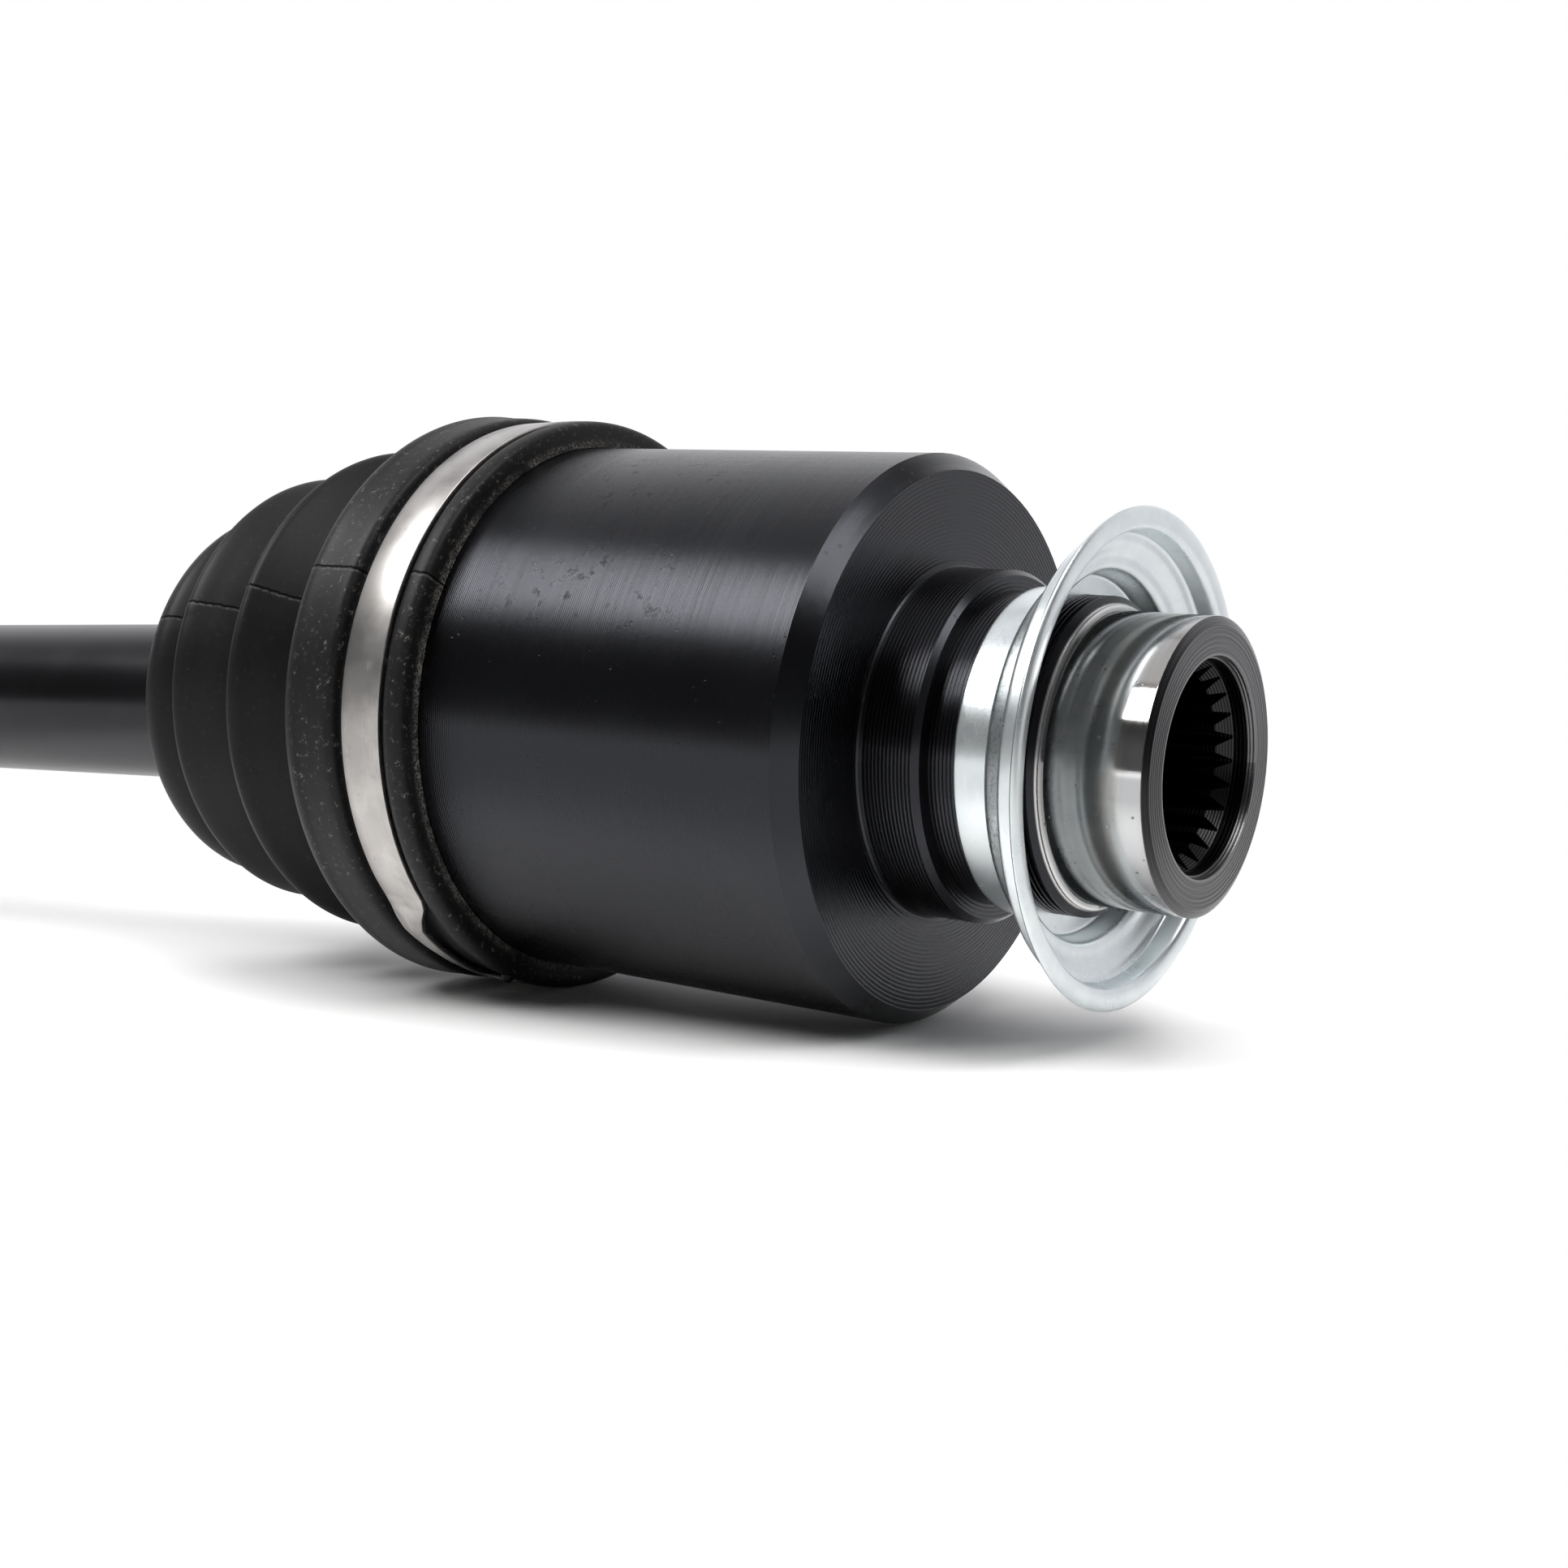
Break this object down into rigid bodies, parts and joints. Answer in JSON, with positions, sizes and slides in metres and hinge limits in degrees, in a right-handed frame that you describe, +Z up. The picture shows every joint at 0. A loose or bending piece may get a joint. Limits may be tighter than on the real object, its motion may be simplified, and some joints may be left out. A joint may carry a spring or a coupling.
{
  "type": "cv axle shaft",
  "caption": "Drive axle: a steel bar with a plunging tripod joint inboard and a ball joint outboard, each under a ribbed rubber boot, with a splined stub and a splined journal end.",
  "frame": {"origin": "centre of the outboard hub shoulder plane, on the bar's axis", "axes": "+X inboard along the bar, +Z up, +Y completes the right-handed frame"},
  "size_m": [0.6036, 0.102, 0.1023],
  "materials": {
    "black_steel": "satin",
    "bright_steel": "polished",
    "zinc_plate": "satin",
    "stainless": "satin",
    "boot_rubber": "matte"
  },
  "bodies": {
    "inner_housing": {"inner_housing": "black_steel", "dust_shield": "zinc_plate", "grease_plug": "zinc_plate", "inner_boot": "boot_rubber", "inner_big_clamp": "stainless", "spring": "bright_steel"},
    "plunger": {"spring_cup": "bright_steel"},
    "thrust_pad": {"thrust_button": "bright_steel"},
    "axle_bar": {"shaft": "black_steel", "spider": "bright_steel", "spider_circlip": "bright_steel", "roller_clips": "bright_steel", "inner_small_clamp": "stainless", "outer_small_clamp": "stainless", "outer_boot": "boot_rubber", "inner_race": "bright_steel", "race_circlip": "bright_steel"},
    "ball_cage": {"cage": "bright_steel", "balls": "bright_steel"},
    "outer_stub": {"outer_bell": "black_steel", "outer_big_clamp": "stainless"},
    "roller_1": {"roller_1": "bright_steel"},
    "needles_1": {"needles_1": "bright_steel"},
    "roller_2": {"roller_2": "bright_steel"},
    "needles_2": {"needles_2": "bright_steel"},
    "roller_3": {"roller_3": "bright_steel"},
    "needles_3": {"needles_3": "bright_steel"}
  },
  "joints": [
    {"name": "inner_plunge", "type": "slide", "parent": "inner_housing", "child": "plunger", "axis": [0.9983, 0, -0.0576], "range_m": [-0.012, 0.015], "deforming": ["spring", "inner_boot"]},
    {"name": "inner_bend", "type": "hinge", "parent": "plunger", "child": "thrust_pad", "pos_m": [0.436, 0, 0], "axis": [0, 1, 0], "range_deg": [-10.7, 17.3], "deforming": ["inner_boot"]},
    {"name": "inner_swing", "type": "hinge", "parent": "thrust_pad", "child": "axle_bar", "pos_m": [0.436, 0, 0], "axis": [0, 0, 1], "range_deg": [-14, 14], "deforming": ["inner_boot"]},
    {"name": "outer_bend", "type": "hinge", "parent": "axle_bar", "child": "ball_cage", "pos_m": [0.044, 0, 0], "axis": [0, 1, 0], "range_deg": [-32, 32], "deforming": ["outer_boot"]},
    {"name": "outer_swing", "type": "hinge", "parent": "ball_cage", "child": "outer_stub", "pos_m": [0.044, 0, 0], "axis": [0, 0, 1], "range_deg": [-32, 32], "deforming": ["outer_boot"]},
    {"name": "roller_1_spin", "type": "hinge", "parent": "axle_bar", "child": "roller_1", "pos_m": [0.436, 0, 0.0275], "axis": [0, 0, 1], "range_deg": [-60, 60]},
    {"name": "needles_1_orbit", "type": "hinge", "parent": "axle_bar", "child": "needles_1", "pos_m": [0.436, 0, 0.0275], "axis": [0, 0, 1], "range_deg": [-40, 40]},
    {"name": "roller_2_spin", "type": "hinge", "parent": "axle_bar", "child": "roller_2", "pos_m": [0.436, -0.02382, -0.01375], "axis": [0, -0.866, -0.5], "range_deg": [-60, 60]},
    {"name": "needles_2_orbit", "type": "hinge", "parent": "axle_bar", "child": "needles_2", "pos_m": [0.436, -0.02382, -0.01375], "axis": [0, -0.866, -0.5], "range_deg": [-40, 40]},
    {"name": "roller_3_spin", "type": "hinge", "parent": "axle_bar", "child": "roller_3", "pos_m": [0.436, 0.02382, -0.01375], "axis": [0, 0.866, -0.5], "range_deg": [-60, 60]},
    {"name": "needles_3_orbit", "type": "hinge", "parent": "axle_bar", "child": "needles_3", "pos_m": [0.436, 0.02382, -0.01375], "axis": [0, 0.866, -0.5], "range_deg": [-40, 40]}
  ],
  "couplings": [
    {"joint": "roller_1_spin", "follows": "inner_plunge", "rad_per_m": 66.7},
    {"joint": "needles_1_orbit", "follows": "inner_plunge", "rad_per_m": 31.5},
    {"joint": "roller_2_spin", "follows": "inner_plunge", "rad_per_m": 66.7},
    {"joint": "needles_2_orbit", "follows": "inner_plunge", "rad_per_m": 31.5},
    {"joint": "roller_3_spin", "follows": "inner_plunge", "rad_per_m": 66.7},
    {"joint": "needles_3_orbit", "follows": "inner_plunge", "rad_per_m": 31.5}
  ]
}
